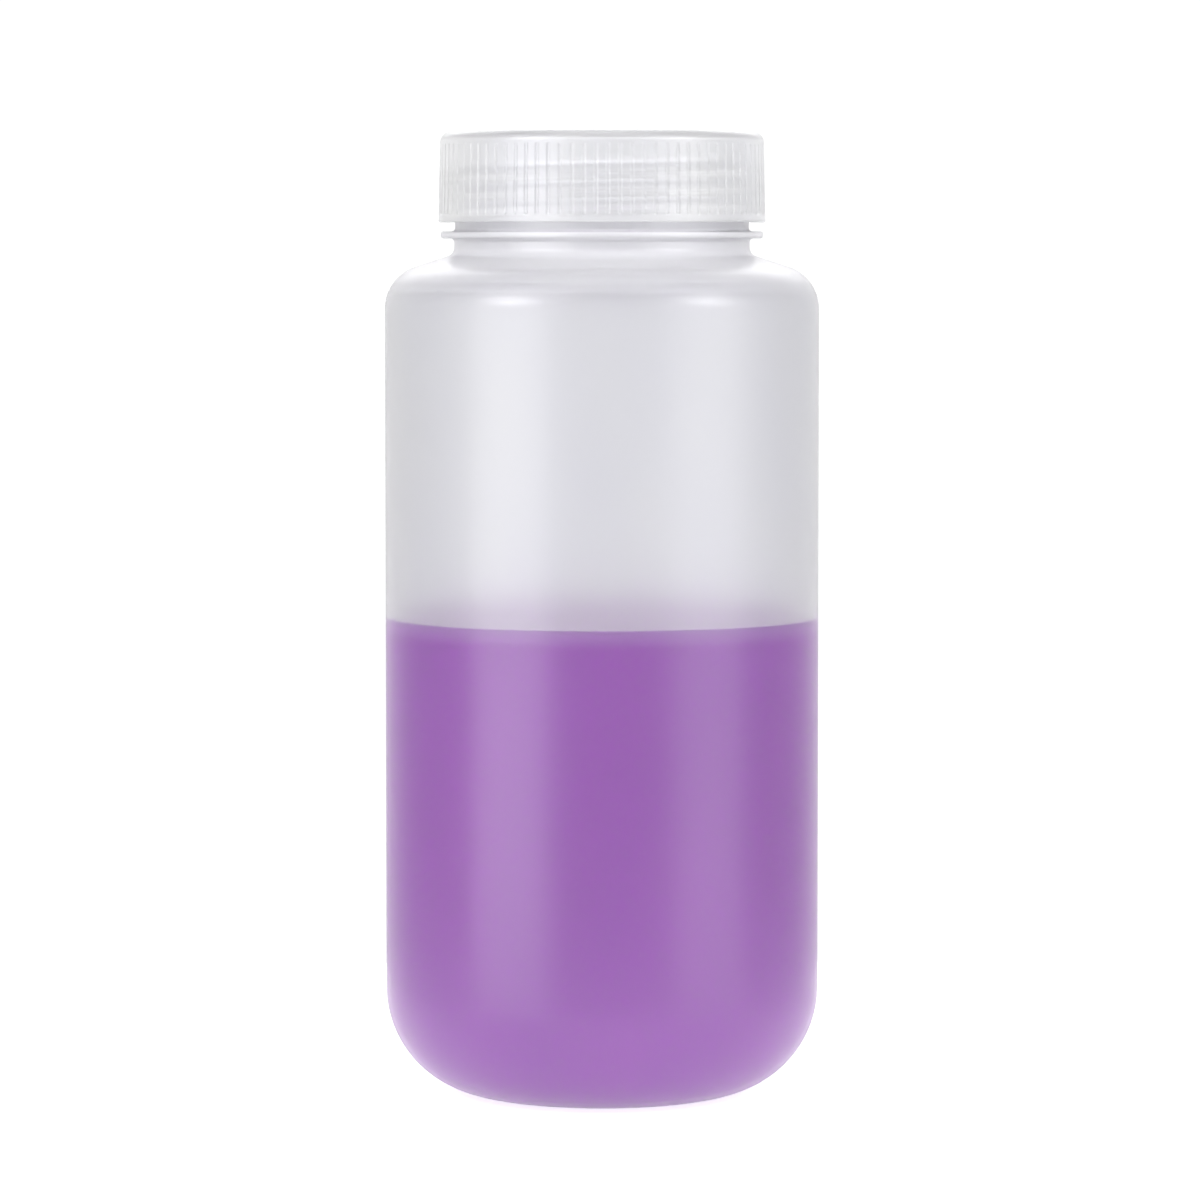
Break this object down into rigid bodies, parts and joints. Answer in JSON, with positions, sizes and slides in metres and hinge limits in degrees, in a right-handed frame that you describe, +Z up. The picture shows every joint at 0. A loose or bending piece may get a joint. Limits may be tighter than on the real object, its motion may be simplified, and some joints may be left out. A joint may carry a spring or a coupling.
{
  "type": "sample bottle",
  "caption": "Translucent wide-mouth plastic sample bottle with a ribbed screw cap, part filled with liquid.",
  "frame": {"origin": "centre of the base, on the surface that the bottle stands on", "axes": "+Z up along the bottle's axis, towards the cap; -Y is the side that the picture shows"},
  "size_m": [0.092, 0.092, 0.2044],
  "materials": {
    "bottle_plastic": "natural translucent, satin",
    "cap_plastic": "natural translucent, satin",
    "sample_liquid": "clear liquid, wet gloss"
  },
  "bodies": {
    "bottle": {"bottle": "bottle_plastic", "liquid": "sample_liquid"},
    "cap": {"screw_cap": "cap_plastic"}
  },
  "joints": [
    {"name": "cap_lift", "type": "slide", "parent": "bottle", "child": "cap", "axis": [0, 0, 1], "range_m": [0, 0.04]}
  ]
}
